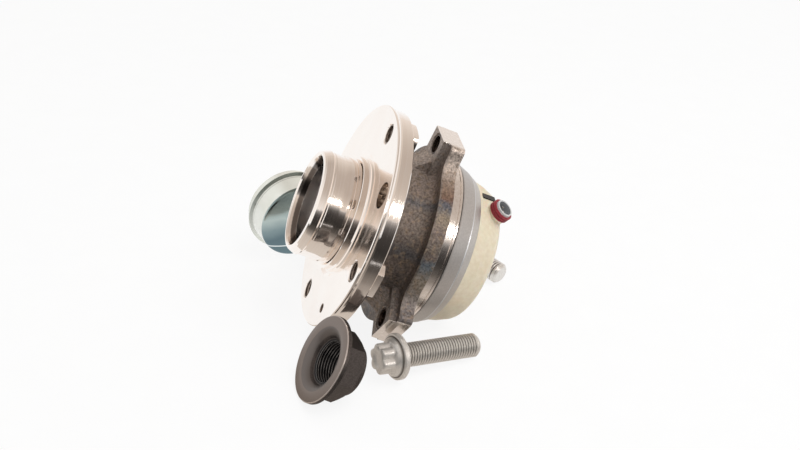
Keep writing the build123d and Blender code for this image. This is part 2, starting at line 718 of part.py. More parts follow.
# ---- Axle nut: forged hexagon nut with a wide dished flange and a round collar ----
NUT_FLANGE = 21.4
NUT_EDGE = 2.4  # the flange at its rim
NUT_HEX = 30.0  # across flats
NUT_HEX_END = 14.4
NUT_COLLAR = 12.6
NUT_LENGTH = 17.8
NUT_CORE = 10.2  # M22 x 1.5 before its thread
NUT_BEARING = 10.0
nut_fall = degrees(atan2(NUT_FLANGE - NUT_COLLAR, NUT_LENGTH - 0.6 - NUT_EDGE))
nut_height = NUT_FLANGE * cos(radians(nut_fall)) + NUT_EDGE * sin(radians(nut_fall))
nut_through, nut_across = lying((-17.3, -72.0, BENCH + nut_height), NUT_BEARING, nut_fall)
with BuildPart() as axle_nut:
    revolve(
        section(
            nut_through,
            (0, 15.8),
            (0, NUT_FLANGE - 0.6),
            (0.6, NUT_FLANGE),
            (NUT_EDGE, NUT_FLANGE),
            (NUT_EDGE + 0.8, NUT_FLANGE - 1.4),
            (NUT_EDGE + 2.4, NUT_HEX / 2 + 1),
            (NUT_EDGE + 2.4, NUT_COLLAR),
            (NUT_LENGTH - 0.6, NUT_COLLAR),
            (NUT_LENGTH, NUT_COLLAR - 0.6),
            (NUT_LENGTH, NUT_CORE + 0.8),
            (NUT_LENGTH - 0.8, NUT_CORE),
            (4.6, NUT_CORE),
            (4.0, NUT_CORE + 1.2),
            (2.6, NUT_CORE + 1.9),
        ),
        axis=Axis(nut_through.origin, nut_through.x_dir),
    )
    with BuildSketch(nut_across.offset(NUT_EDGE)):
        RegularPolygon(NUT_HEX / 2, 6, major_radius=False, rotation=30)
        Circle(NUT_COLLAR - 1, mode=Mode.SUBTRACT)
    extrude(amount=NUT_HEX_END - NUT_EDGE)
    revolve(
        section(
            nut_through,
            (NUT_HEX_END - 1.5, NUT_HEX / sqrt(3) + 0.1),
            (NUT_HEX_END + 0.2, NUT_HEX / sqrt(3) + 0.1),
            (NUT_HEX_END + 0.2, NUT_HEX / 2 - 0.6),
        ),
        axis=Axis(nut_through.origin, nut_through.x_dir),
        mode=Mode.SUBTRACT,
    )


# ---- Flange bolts: fully threaded M12 x 45 with a six-lobed head ----
SHANK = 6.0
SHANK_LENGTH = 45.0
HEAD_FLANGE = 11.4
HEAD_LOBES = 7.6
HEAD_HEIGHT = 12.0
bolt_fall = degrees(atan2(HEAD_FLANGE - SHANK, SHANK_LENGTH))
bolt_height = HEAD_FLANGE * cos(radians(bolt_fall))


def flange_bolt(x, y, bearing):
    """A flange bolt on the bench: where its flange's seat is, and the bearing that its tip points to."""
    through, across_bolt = lying((x, y, BENCH + bolt_height), bearing, bolt_fall)
    with BuildPart() as bolt:
        revolve(
            section(
                through,
                (-HEAD_HEIGHT + 6.5, 0),
                (-HEAD_HEIGHT + 6.5, HEAD_LOBES + 0.8),
                (-3, HEAD_FLANGE - 0.6),
                (-2.4, HEAD_FLANGE),
                (0, HEAD_FLANGE),
                (0, SHANK),
                (SHANK_LENGTH - 1.4, SHANK),
                (SHANK_LENGTH, SHANK - 1.4),
                (SHANK_LENGTH, 0),
            ),
            axis=Axis(through.origin, through.x_dir),
        )
        with BuildSketch(across_bolt.offset(-HEAD_HEIGHT)):
            Circle(HEAD_LOBES)
            with PolarLocations(HEAD_LOBES + 0.9, 6):
                Circle(2.1, mode=Mode.SUBTRACT)
        extrude(amount=8)
    return bolt


front_bolt = flange_bolt(21.7, -59.8, 21.0)
rear_bolt = flange_bolt(64.5, 59.5, -52.5)


# ---- One STEP file for each piece ----
nodes = {
    "hub_flange": hub_flange,
    "inner_ring": inner_ring,
    "outer_ring": outer_ring,
    "outboard_balls": outboard_balls,
    "inboard_balls": inboard_balls,
    "outboard_cage": outboard_cage,
    "inboard_cage": inboard_cage,
    "outboard_seal_case": outboard_seal_case,
    "outboard_seal_lip": outboard_seal_lip,
    "inboard_seal_case": inboard_seal_case,
    "inboard_seal_lip": inboard_seal_lip,
    "inboard_flinger": inboard_flinger,
    "encoder_ring": encoder_ring,
    "seam_gasket": seam_gasket,
    "cover_ring": cover_ring,
    "sensor_cover": sensor_cover,
    "speed_sensor": speed_sensor,
    "connector_socket": connector_socket,
    "contact_pins": contact_pins,
    "connector_seal": connector_seal,
    "dust_cap": dust_cap,
    "axle_nut": axle_nut,
    "front_bolt": front_bolt,
    "rear_bolt": rear_bolt,
}
os.makedirs("parts", exist_ok=True)
for node, body in nodes.items():
    body.part.label = node
    export_step(body.part, f"parts/{node}.step")
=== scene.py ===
import math

import bmesh
import bpy
from mathutils import Matrix, Vector


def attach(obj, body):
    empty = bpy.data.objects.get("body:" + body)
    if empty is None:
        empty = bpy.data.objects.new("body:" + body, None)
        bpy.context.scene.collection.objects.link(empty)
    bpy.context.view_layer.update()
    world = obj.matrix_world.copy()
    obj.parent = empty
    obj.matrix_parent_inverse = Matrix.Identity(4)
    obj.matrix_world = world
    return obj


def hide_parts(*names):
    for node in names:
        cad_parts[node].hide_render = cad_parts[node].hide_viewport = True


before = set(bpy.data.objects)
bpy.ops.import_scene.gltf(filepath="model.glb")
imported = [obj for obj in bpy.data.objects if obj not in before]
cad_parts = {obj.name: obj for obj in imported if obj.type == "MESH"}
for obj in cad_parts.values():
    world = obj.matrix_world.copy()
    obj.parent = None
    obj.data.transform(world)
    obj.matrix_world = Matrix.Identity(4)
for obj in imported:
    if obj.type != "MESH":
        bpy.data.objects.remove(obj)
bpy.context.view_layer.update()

# ---- Where the unit is seen from ----
# From the wheel side and a little above, as it lies on the bench with its kit.
MM = 0.001
ahead = Vector((0.1542, 0.8692, -0.4698)).normalized()
side = ahead.cross(Vector((0.0059, 0.4747, 0.8801))).normalized()
top = side.cross(ahead)
camera = bpy.data.objects.new("camera", bpy.data.cameras.new("camera"))
camera.data.lens, camera.data.sensor_width, camera.data.clip_start = 49.5, 36, 0.01
camera.matrix_world = Matrix((side, top, -ahead)).transposed().to_4x4()
camera.matrix_world.translation = (-0.05937, -0.49210, 0.25946)
bpy.context.scene.collection.objects.link(camera)
bpy.context.scene.camera = camera
bpy.context.scene.view_settings.view_transform = "Standard"


# ---- Bench and studio ----
# A pale bench under a plain white sky. Steel also sees a dark card low in front of the bench
# and a grey dome overhead, which give its turned faces their dark and light bands.
BENCH = -57.6


def linear(colour):
    """An sRGB hex colour as the linear colour that a shader takes."""
    parts = [int(colour[at : at + 2], 16) / 255 for at in (1, 3, 5)]
    return [c / 12.92 if c <= 0.04045 else ((c + 0.055) / 1.055) ** 2.4 for c in parts] + [1.0]


def add(tree, kind, sockets=(), stops=None, **settings):
    """A node with its settings, its sockets in order or by name, and the stops of its ramp.

    A socket takes a number, a hex colour, an output, or a node, which gives its first live output.
    """
    node = tree.nodes.new("ShaderNode" + kind)
    for name, value in settings.items():
        setattr(node, name, value)
    for name, value in sockets.items() if isinstance(sockets, dict) else enumerate(sockets):
        if isinstance(value, str):
            value = linear(value)
        if isinstance(value, bpy.types.Node):
            value = next(output for output in value.outputs if output.enabled)
        if isinstance(value, bpy.types.NodeSocket):
            tree.links.new(value, node.inputs[name])
        else:
            node.inputs[name].default_value = value
    if stops:
        ramp = node.color_ramp.elements
        ramp.remove(ramp[1])
        for place, colour in stops[1:]:
            ramp.new(place).color = linear(colour)
        ramp[0].position, ramp[0].color = stops[0][0], linear(stops[0][1])
    return node


def bare_tree(owner):
    """The empty node tree of a material or the world."""
    owner.use_nodes = True
    owner.node_tree.nodes.clear()
    return owner.node_tree


world = bpy.data.worlds.new("studio")
bpy.context.scene.world = world
tree = bare_tree(world)
path = add(tree, "LightPath")
where = add(tree, "SeparateXYZ", [add(tree, "TexCoord").outputs["Generated"]])
dome = add(tree, "ValToRGB", {"Fac": where.outputs["Z"]}, stops=[
    (0.0, "#F8F5F3"), (0.24, "#E9DED5"), (0.6, "#CFC3B8"), (0.8, "#BBAEA4"), (1.0, "#BBAEA4")])
left = add(tree, "MapRange", {"Value": where.outputs["X"], "From Min": -0.2, "From Max": -0.6})
dome = add(tree, "Mix", {0: left, 6: dome, 7: "#FAF6F3"}, data_type="RGBA")
plain = add(tree, "Background", {"Color": "#FFFFFF", "Strength": 0.55})
mirrored = add(tree, "Background", {"Color": dome, "Strength": 1.0})
white = add(tree, "Background", {"Color": "#FFFFFF", "Strength": 1.0})
lit = add(tree, "MixShader", [path.outputs["Is Glossy Ray"], plain, mirrored])
seen = add(tree, "MixShader", [path.outputs["Is Camera Ray"], lit, white])
add(tree, "OutputWorld", {"Surface": seen})


def slab(name, spot, width, depth, material, tilt=0.0):
    """A flat stage piece in the bench's frame."""
    mesh = bpy.data.meshes.new(name)
    w, d = width / 2, depth / 2
    mesh.from_pydata([(-w, -d, 0), (w, -d, 0), (w, d, 0), (-w, d, 0)], [], [(0, 1, 2, 3)])
    mesh.materials.append(material)
    piece = bpy.data.objects.new(name, mesh)
    piece.matrix_world = Matrix.Translation(spot) @ Matrix.Rotation(math.radians(tilt), 4, "X")
    bpy.context.scene.collection.objects.link(piece)
    return piece


# Uncoated white paper, matt. The camera, metal and glass see it as plain white, and it keeps the unit's shadow.
paper = bpy.data.materials.new("white_bench_paper")
tree = bare_tree(paper)
grain = add(tree, "TexNoise", {"Scale": 400.0, "Detail": 2.0})
matt = add(tree, "BsdfDiffuse", {"Color": add(tree, "ValToRGB", [grain], stops=[(0.3, "#F6F4F2"), (0.7, "#FBFAF9")])})
glow = add(tree, "Emission", {"Color": "#FFFFFF", "Strength": 1.0})
path = add(tree, "LightPath")
near = add(tree, "Math", [path.outputs["Is Camera Ray"], path.outputs["Is Glossy Ray"]], operation="MAXIMUM")
sees_white = add(tree, "Math", [near, path.outputs["Is Transmission Ray"]], operation="MAXIMUM")
share = add(tree, "Math", [sees_white, 0.88], operation="MULTIPLY")
add(tree, "OutputMaterial", {"Surface": add(tree, "MixShader", [share, matt, glow])})
slab("bench", (0, 0, BENCH * MM), 8, 8, paper)


def card(name, spot, width, depth, tilt, stops):
    """A card that only steel sees, shaded along its depth from the unit outwards or upwards."""
    shade = bpy.data.materials.new(name + "_shade")
    tree = bare_tree(shade)
    along = add(tree, "SeparateXYZ", [add(tree, "TexCoord").outputs["Generated"]]).outputs["Y"]
    felt = add(tree, "TexNoise", {"Vector": add(tree, "TexCoord").outputs["Object"], "Scale": 30.0})
    uneven = add(tree, "Math", [felt, 0.06, along], operation="MULTIPLY_ADD")
    glow = add(tree, "Emission", {"Color": add(tree, "ValToRGB", [uneven], stops=stops), "Strength": 1.0})
    add(tree, "OutputMaterial", {"Surface": glow})
    piece = slab(name, spot, width, depth, shade, tilt)
    piece.visible_camera = piece.visible_diffuse = piece.visible_shadow = piece.visible_transmission = False


card("card_far_on_bench", (-0.06, -0.343, (BENCH + 0.3) * MM), 1.1, 0.535, 0, [
    (0.0, "#302D2B"), (0.5, "#383532"), (0.84, "#544F4B"), (0.94, "#857D76"), (1.0, "#B4ABA3")])
# Painted shadow: a beige card under the unit stands for the bench's shade beneath it, as steel sees it in reflections.
card("painted_shadow_card_under_unit", (-0.03, -0.05175, (BENCH + 0.6) * MM), 0.3, 0.0765, 0, [
    (0.0, "#C2B7AD"), (1.0, "#D2C9C0")])
card("card_upright", (-0.06, -0.61, 0.105), 1.1, 0.33, 90, [
    (0.0, "#302D2B"), (0.5, "#3E3A38"), (0.75, "#5C5856"), (0.92, "#8F8A87"), (1.0, "#A8A3A0")])
card("light_gap", (0.036, -0.25, (BENCH + 0.6) * MM), 0.05, 0.026, 0, [(0.0, "#D0CBC8"), (1.0, "#D6D2CF")])


def lamp(name, azimuth, elevation, distance, width, height, watts, colour):
    """A soft box that faces the unit from a bearing and a height in degrees."""
    light = bpy.data.lights.new(name, "AREA")
    light.shape, light.size, light.size_y, light.energy = "RECTANGLE", width, height, watts
    light.color = linear(colour)[:3]
    a, e = math.radians(azimuth), math.radians(elevation)
    away = Vector((math.cos(e) * math.cos(a), math.cos(e) * math.sin(a), math.sin(e)))
    box = bpy.data.objects.new(name, light)
    box.matrix_world = Matrix.Translation(away * distance) @ away.to_track_quat("Z", "Y").to_matrix().to_4x4()
    bpy.context.scene.collection.objects.link(box)
    return box


lamp("key_box", -53, 30, 0.9, 0.42, 0.07, 1.1, "#FFFBF8").visible_diffuse = False
lamp("top_box", -30, 62, 1.1, 0.8, 0.8, 6.8, "#FFFFFF").visible_glossy = False


# ---- Hub: spigot, wheel flange and stem ----
# One carbon steel forging, turned bright all over. The tool leaves fine rings round the axis,
# so that highlights draw out along it.
LEAN = math.radians(21.3)
AXIS = Vector((math.cos(LEAN), 0, -math.sin(LEAN)))
UP = Vector((math.sin(LEAN), 0, math.cos(LEAN)))
FRONT = Vector((0, -1, 0))


def round_axis(tree, start, along):
    """A point's distance along an axis and from it, in metres."""
    here = add(tree, "TexCoord").outputs["Object"]
    arm = add(tree, "VectorMath", [here, Vector(start)], operation="SUBTRACT")
    far = add(tree, "VectorMath", [arm, along], operation="DOT_PRODUCT")
    cross = add(tree, "VectorMath", [arm, along], operation="CROSS_PRODUCT")
    return far, add(tree, "VectorMath", [cross], operation="LENGTH")


def inside(tree, value, low=None, high=None, blur=0.0002):
    """1 where a distance lies over a low edge, under a high one, or between both, in metres, and 0 elsewhere."""
    edges = []
    if low is not None:
        edges.append(add(tree, "MapRange", {"Value": value, "From Min": low - blur, "From Max": low + blur}))
    if high is not None:
        edges.append(add(tree, "MapRange", {"Value": value, "From Min": high + blur, "From Max": high - blur}))
    return edges[0] if len(edges) == 1 else add(tree, "Math", edges, operation="MULTIPLY")


def turned_steel(name, shade_low, shade_high, start, along, ring_mm, roughness, spin=0.6):
    """Steel turned in a lathe: rings a set width apart, round an axis."""
    finish = bpy.data.materials.new(name)
    tree = bare_tree(finish)
    far, out = round_axis(tree, start, along)
    # Real feed marks are 0.1 mm apart and too fine to show here, so they are drawn wider.
    line = add(tree, "CombineXYZ", {"X": far, "Y": out})
    rings = add(tree, "TexNoise", {"Vector": line, "Scale": 1000 / ring_mm, "Detail": 3.0})
    cloud = add(tree, "TexNoise", {"Vector": add(tree, "TexCoord").outputs["Object"], "Scale": 60.0, "Detail": 3.0})
    fine = add(tree, "Math", [rings, 0.6], operation="MULTIPLY")
    mixed = add(tree, "Math", [fine, add(tree, "Math", [cloud, 0.4], operation="MULTIPLY")], operation="ADD")
    tone = add(tree, "ValToRGB", [mixed], stops=[(0.35, shade_low), (0.65, shade_high)])
    rough = add(tree, "MapRange", {"Value": rings, "From Min": 0.3, "From Max": 0.7,
                                   "To Min": roughness - 0.04, "To Max": roughness + 0.05})
    bump = add(tree, "Bump", {"Height": rings, "Strength": 0.12, "Distance": 0.00002})
    sweep = add(tree, "VectorMath", [add(tree, "NewGeometry").outputs["Position"], along], operation="CROSS_PRODUCT")
    body = add(tree, "BsdfPrincipled", {
        "Base Color": tone, "Metallic": 1.0, "Roughness": rough, "Anisotropic": spin, "Anisotropic Rotation": 0.25,
        "Tangent": add(tree, "VectorMath", [sweep], operation="NORMALIZE"), "Normal": bump})
    add(tree, "OutputMaterial", {"Surface": body})
    return finish


def wear(node, finish):
    """A carried-over CAD piece takes this finish in place of its own."""
    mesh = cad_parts[node].data
    mesh.materials.clear()
    mesh.materials.append(finish)


BOLT_CIRCLE = 50.0


def spoke(degrees):
    """The direction out from the hub's axis, turned from straight up towards the front of the bench."""
    return UP * math.cos(math.radians(degrees)) + FRONT * math.sin(math.radians(degrees))


hub_steel = turned_steel("bright_turned_steel", "#FCF3EC", "#FFFAF5", (0, 0, 0), AXIS, 0.5, 0.11, 0.4)
tree = hub_steel.node_tree
skin = tree.nodes["Principled BSDF"]
# The plain hole beside the bolt holes is drilled, and its bore is painted a little darker than the turned faces:
# painted shade inside the hole.
hole_painted_shade = inside(tree, round_axis(tree, spoke(50) * BOLT_CIRCLE * MM, AXIS)[1], high=0.0066, blur=0.00005)
steel = skin.inputs["Base Color"].links[0].from_socket
steel = add(tree, "Mix", {0: hole_painted_shade, 6: steel, 7: "#D8CEC5"}, data_type="RGBA")
# The cap's bore is ground bright, and the cone that leads into it is darker.
far, out = round_axis(tree, (0, 0, 0), AXIS)
bored = add(tree, "Math", [inside(tree, out, high=0.0232, blur=0.00008), inside(tree, far, high=0.0120)],
            operation="MULTIPLY")
lead_in = inside(tree, out, low=0.022508, blur=0.000005)
bore = add(tree, "Mix", {0: lead_in, 6: "#FAF7F5", 7: "#77706C"}, data_type="RGBA")
steel = add(tree, "Mix", {0: bored, 6: steel, 7: bore}, data_type="RGBA")
tree.links.new(steel.outputs[2], skin.inputs["Base Color"])
wear("hub_flange", hub_steel)


# ---- Threads cut in the flange: four for the wheel bolts, one for the disc screw ----
# Tapped M12 x 1.5 and M6 x 1 threads, dull inside with bright crests. The CAD leaves their bores plain.
def lathe(name, place, rings, around=64, loop=False):
    """A mesh of rings round its X axis. Each ring is (along, radius) in mm, and a radius may follow the turn."""
    work = bmesh.new()
    rows = []
    for far, radius in rings:
        row = []
        for step in range(1 if radius == 0 else around):
            turn = math.tau * step / around
            r = radius(turn) if callable(radius) else radius
            row.append(work.verts.new((far * MM, -r * math.sin(turn) * MM, r * math.cos(turn) * MM)))
        rows.append(row)
    for a, b in list(zip(rows, rows[1:])) + ([(rows[-1], rows[0])] if loop else []):
        for i in range(around):
            j = (i + 1) % around
            corners = dict.fromkeys((a[i % len(a)], a[j % len(a)], b[j % len(b)], b[i % len(b)]))
            work.faces.new(corners)
    bmesh.ops.recalc_face_normals(work, faces=work.faces)
    work.transform(place)
    mesh = bpy.data.meshes.new(name)
    work.to_mesh(mesh)
    work.free()
    mesh.shade_smooth()
    mesh.set_sharp_from_angle(angle=math.radians(32))
    piece = bpy.data.objects.new(name, mesh)
    bpy.context.scene.collection.objects.link(piece)
    return piece


def frame_at(start, along, up):
    """A matrix whose X axis runs along, and Z axis up, from a start in mm."""
    across = up.cross(along).normalized()
    up = along.cross(across)
    turned = Matrix((along, across, up)).transposed().to_4x4()
    turned.translation = Vector(start) * MM
    return turned


RINGS_A_PITCH = 8


def thread_rings(first, last, pitch, crest, root):
    """Rings of a right-handed 60 degree thread that fades in and out over its end turns."""
    rings = []
    count = round((last - first) / pitch * RINGS_A_PITCH)
    for step in range(count + 1):
        far = first + (last - first) * step / count
        fade = min(1.0, (far - first) / pitch, (last - far) / pitch)

        def radius(turn, far=far, fade=fade):
            phase = (far / pitch + turn / math.tau) % 1.0
            flank = min(1.0, max(0.0, abs(phase * 2 - 1) * 1.35 - 0.17))
            return crest + (root - crest) * flank * fade

        rings.append((far, radius))
    return rings


def thread_liner(name, place, length, wall, pitch, depth, finish, body, slot):
    """The thread inside a plain bore, as a thin sleeve a hair inside its wall."""
    inner = thread_rings(0.4, length - 0.4, pitch, wall - depth, wall - 0.08)
    rings = [(0.4, wall - 0.02)] + inner + [(length - 0.4, wall - 0.02)]
    sleeve = lathe(name, place, rings, around=48, loop=True)
    sleeve.data.materials.append(finish)
    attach(sleeve, body)


def dull_thread(name, low, high):
    """A cut thread's finish: dull steel that clouds at random between a darker and a lighter shade."""
    finish = bpy.data.materials.new(name)
    tree = bare_tree(finish)
    stain = add(tree, "TexNoise", {"Vector": add(tree, "TexCoord").outputs["Object"], "Scale": 700.0, "Detail": 4.0})
    tone = add(tree, "ValToRGB", [stain], stops=[(0.3, low), (0.7, high)])
    add(tree, "OutputMaterial", {"Surface": add(tree, "BsdfPrincipled", {
        "Base Color": tone, "Metallic": 1.0, "Roughness": 0.38})})
    return finish


# The bore's radius, the pitch and the depth of each thread, in mm.
M12_THREAD = (5.25, 1.5, 0.8)
M6_THREAD = (2.5, 1.0, 0.45)
tapped = dull_thread("tapped_steel_thread", "#8B7F76", "#B9ADA3")
for number in range(4):
    way = spoke(5 + 90 * number)
    thread_liner(f"wheel_bolt_thread_{number + 1}", frame_at(way * BOLT_CIRCLE, AXIS, way), 12.6, *M12_THREAD,
                 tapped, "hub", "turned_steel")
way = spoke(140)
thread_liner("disc_screw_thread", frame_at(way * BOLT_CIRCLE, AXIS, way), 9.2, *M6_THREAD,
             tapped, "hub", "turned_steel")


# ---- Outer ring: barrel, three-eared plate and knuckle pilot ----
# Bearing steel, hot forged and left with its dark scale and coarse grain. Heat has tinted it blue and straw
# between the ears. The ears' ends, the knuckle face and its pilot are machined bright.
EARS = 3
EAR_CIRCLE = 52.0
PLATE_FRONT = 25.4
EAR_STEP = 360 / EARS
forging = bpy.data.materials.new("forged_steel_with_heat_tint")
tree = bare_tree(forging)
far, out = round_axis(tree, (0, 0, 0), AXIS)
here = add(tree, "TexCoord").outputs["Object"]
high = add(tree, "VectorMath", [here, UP], operation="DOT_PRODUCT")
wide = add(tree, "VectorMath", [here, FRONT], operation="DOT_PRODUCT")
turn = add(tree, "Math", [add(tree, "Math", [wide, high], operation="ARCTAN2"), math.tau], operation="ADD")
# How far round a point is from one ear to the next, from 0 to 1.
turn = add(tree, "Math", [turn, math.radians(EAR_STEP)], operation="DIVIDE")
span = add(tree, "Math", [turn], operation="FRACT")
coarse = add(tree, "TexNoise", {"Vector": here, "Scale": 900.0, "Detail": 5.0, "Roughness": 0.6})
patchy = add(tree, "TexNoise", {"Vector": here, "Scale": 110.0, "Detail": 4.0})
drift = add(tree, "Math", [add(tree, "Math", [patchy, 0.5], operation="SUBTRACT"), 0.07], operation="MULTIPLY")
rim_tint = add(tree, "ValToRGB", [add(tree, "Math", [span, drift], operation="ADD")], stops=[
    (0.0, "#EDE0D7"), (0.08, "#E6D9CF"), (0.16, "#BBAEA4"), (0.25, "#9B8778"), (0.31, "#886E60"),
    (0.335, "#6B6A70"), (0.365, "#6F7075"), (0.42, "#988C7C"), (0.5, "#7F736E"), (0.58, "#7E756D"),
    (0.62, "#7A6F69"), (0.66, "#6E7880"), (0.75, "#9F9487"), (0.92, "#7E797A")])
swing = add(tree, "Math", [add(tree, "Math", [span, 0.5], operation="PINGPONG"), 2.0], operation="MULTIPLY")
swing = add(tree, "Math", [add(tree, "Math", [1.0, swing], operation="SUBTRACT"), drift], operation="ADD")
barrel_tint = add(tree, "ValToRGB", [swing], stops=[
    (0.0, "#857A72"), (0.2, "#7E746D"), (0.3, "#6E6C6D"), (0.42, "#877B73"), (0.6, "#8E837C"), (1.0, "#A69D97")])
# Painted light and shade: the barrel's colour is darker towards its bottom and lighter towards its top, as light from
# above falls on it.
lowness = add(tree, "Math", [high, out], operation="DIVIDE")
painted_light_from_above = add(tree, "MapRange", {"Value": lowness, "From Min": -0.2, "To Min": 0.66, "To Max": 1.2})
painted_light_from_above = add(tree, "CombineColor", [painted_light_from_above, painted_light_from_above, painted_light_from_above])
barrel_tint = add(tree, "Mix", {0: 1.0, 6: barrel_tint, 7: painted_light_from_above}, data_type="RGBA", blend_type="MULTIPLY")
# The rim's front edge, up to 30.2 mm along the axis, keeps the barrel's darker colour: dark scale on the forging's
# rounded corner, and painted shade of the groove between barrel and plate.
on_rim = add(tree, "Math", [inside(tree, out, low=0.0468, blur=0.0004), inside(tree, far, low=0.0302, blur=0.0004)],
             operation="MULTIPLY")
scale_colour = add(tree, "Mix", {0: on_rim, 6: barrel_tint, 7: rim_tint}, data_type="RGBA")
# Forging scale is finer than shows here, so its grain is drawn about 1 mm wide and its flecks about 2 mm.
speck = add(tree, "MapRange", {"Value": coarse, "From Min": 0.3, "From Max": 0.7, "To Min": 0.45, "To Max": 1.5})
fleck = add(tree, "TexNoise", {"Vector": here, "Scale": 420.0, "Detail": 3.0})
fleck = add(tree, "MapRange", {"Value": fleck, "From Min": 0.52, "From Max": 0.68, "To Max": 0.55})
scale_colour = add(tree, "Mix", {0: fleck, 6: scale_colour, 7: "#A08C76"}, data_type="RGBA")
speck = add(tree, "CombineColor", [speck, speck, speck])
grainy = add(tree, "Mix", {0: 1.0, 6: scale_colour, 7: speck}, data_type="RGBA", blend_type="MULTIPLY")
ends = None
for ear in range(EARS):
    reach = add(tree, "VectorMath", [here, spoke(EAR_STEP * ear)], operation="DOT_PRODUCT")
    ends = reach if ends is None else add(tree, "Math", [ends, reach], operation="MAXIMUM")
cut = add(tree, "Math", [inside(tree, ends, low=0.0580, blur=0.0001), inside(tree, far, low=0.03685, blur=0.00005)],
          operation="MAXIMUM")
cut = add(tree, "Math", [cut, inside(tree, far, high=0.0116, blur=0.0001)], operation="MAXIMUM")
milled = add(tree, "TexNoise", {"Vector": here, "Scale": 500.0, "Detail": 2.0})
bright = add(tree, "ValToRGB", [milled], stops=[(0.3, "#F0E9E4"), (0.7, "#FAF5F1")])
uncut = add(tree, "Math", [1.0, cut], operation="SUBTRACT")
lumps = add(tree, "Math", [coarse, uncut], operation="MULTIPLY")
skin = add(tree, "BsdfPrincipled", {
    "Base Color": add(tree, "Mix", {0: cut, 6: grainy, 7: bright}, data_type="RGBA"),
    "Metallic": add(tree, "Mix", {0: cut, 2: 0.75, 3: 1.0}), "Roughness": add(tree, "Mix", {0: cut, 2: 0.52, 3: 0.17}),
    "Normal": add(tree, "Bump", {"Height": lumps, "Strength": 0.8, "Distance": 0.0003})})
add(tree, "OutputMaterial", {"Surface": skin})
wear("outer_ring", forging)

# The ears' threads are coloured dark brown, much darker than the flange's tapped threads.
dark_cut_thread = dull_thread("dark_cut_steel_thread", "#2E2622", "#5B4E45")
for number in range(EARS):
    way = spoke(EAR_STEP * number)
    place = frame_at(way * EAR_CIRCLE + AXIS * PLATE_FRONT, AXIS, way)
    thread_liner(f"knuckle_bolt_thread_{number + 1}", place, 11.5, *M12_THREAD, dark_cut_thread, "housing", "forged_steel")


# ---- Inside the bearing: inner ring, balls, cages, seals ----
# Ground bearing steel and polished balls, both mirror-bright. Brown moulded nylon cages, satin. Pressed steel seal
# cases, bright, with dull black rubber lips. The magnet ring and the seam gasket are dull black rubber too.
def plain_finish(name, low, high, grain_mm, roughness, metallic=0.0, bump_mm=0.0, **extra):
    """A one-material finish: a colour that clouds a little between two shades at a grain's size, and its bump."""
    finish = bpy.data.materials.new(name)
    tree = bare_tree(finish)
    where = add(tree, "TexCoord").outputs["Object"]
    grain = add(tree, "TexNoise", {"Vector": where, "Scale": 1000 / grain_mm, "Detail": 3.0})
    tone = add(tree, "ValToRGB", [grain], stops=[(0.3, low), (0.7, high)])
    sockets = {"Base Color": tone, "Metallic": metallic, "Roughness": roughness}
    if bump_mm:
        sockets["Normal"] = add(tree, "Bump", {"Height": grain, "Strength": 0.6, "Distance": bump_mm * MM})
    add(tree, "OutputMaterial", {"Surface": add(tree, "BsdfPrincipled", {**sockets, **extra})})
    return finish


wear("inner_ring", turned_steel("ground_bearing_steel", "#C9C6C2", "#D4D1CD", (0, 0, 0), AXIS, 0.4, 0.14))
polished = plain_finish("polished_ball_steel", "#D8D8D8", "#E0E0E0", 3.0, 0.05, 1.0)
nylon = plain_finish("moulded_nylon_cage", "#7A5A38", "#8B6942", 0.8, 0.42, 0.0, 0.01)
pressed = plain_finish("pressed_seal_steel", "#A8A5A1", "#B8B5B1", 1.2, 0.3, 1.0, 0.004)
rubber = plain_finish("nitrile_seal_rubber", "#161515", "#201F1F", 0.7, 0.55, 0.0, 0.01)
for node, finish in {
    "outboard_balls": polished, "inboard_balls": polished, "outboard_cage": nylon, "inboard_cage": nylon,
    "outboard_seal_case": pressed, "inboard_seal_case": pressed, "inboard_flinger": pressed,
    "outboard_seal_lip": rubber, "inboard_seal_lip": rubber,
    "encoder_ring": plain_finish("magnet_rubber", "#241F1C", "#2E2825", 0.6, 0.4),
    "seam_gasket": plain_finish("gasket_rubber", "#0C0B0B", "#141313", 0.6, 0.6),
}.items():
    wear(node, finish)


# ---- Rear ring: pressed steel in two bands ----
# Blue-grey phosphate and paint, matt, with a painted highlight line at the step between the bands.
ring_coat = bpy.data.materials.new("matt_blue_grey_ring_coat")
tree = bare_tree(ring_coat)
far, out = round_axis(tree, (0, 0, 0), AXIS)
grain = add(tree, "TexNoise", {"Vector": add(tree, "TexCoord").outputs["Object"], "Scale": 1100.0, "Detail": 3.0})
front_band = add(tree, "ValToRGB", [grain], stops=[(0.3, "#B5B1AE"), (0.7, "#C2BEBB")])
rear_band = add(tree, "ValToRGB", [grain], stops=[(0.3, "#BEBAB6"), (0.7, "#CAC6C2")])
rearward = inside(tree, far, low=0.05155, blur=0.0001)
bands = add(tree, "Mix", {0: rearward, 6: front_band, 7: rear_band}, data_type="RGBA")
# Painted highlight: a pale line along the step between the bands.
painted_highlight_line = inside(tree, far, 0.05145, 0.0521, 0.0001)
skin = add(tree, "BsdfPrincipled", {
    "Base Color": add(tree, "Mix", {0: painted_highlight_line, 6: bands, 7: "#E3E6EA"}, data_type="RGBA"),
    "Metallic": 0.75, "Roughness": 0.4,
    "Normal": add(tree, "Bump", {"Height": grain, "Strength": 0.3, "Distance": 0.00003})})
add(tree, "OutputMaterial", {"Surface": skin})
wear("cover_ring", ring_coat)


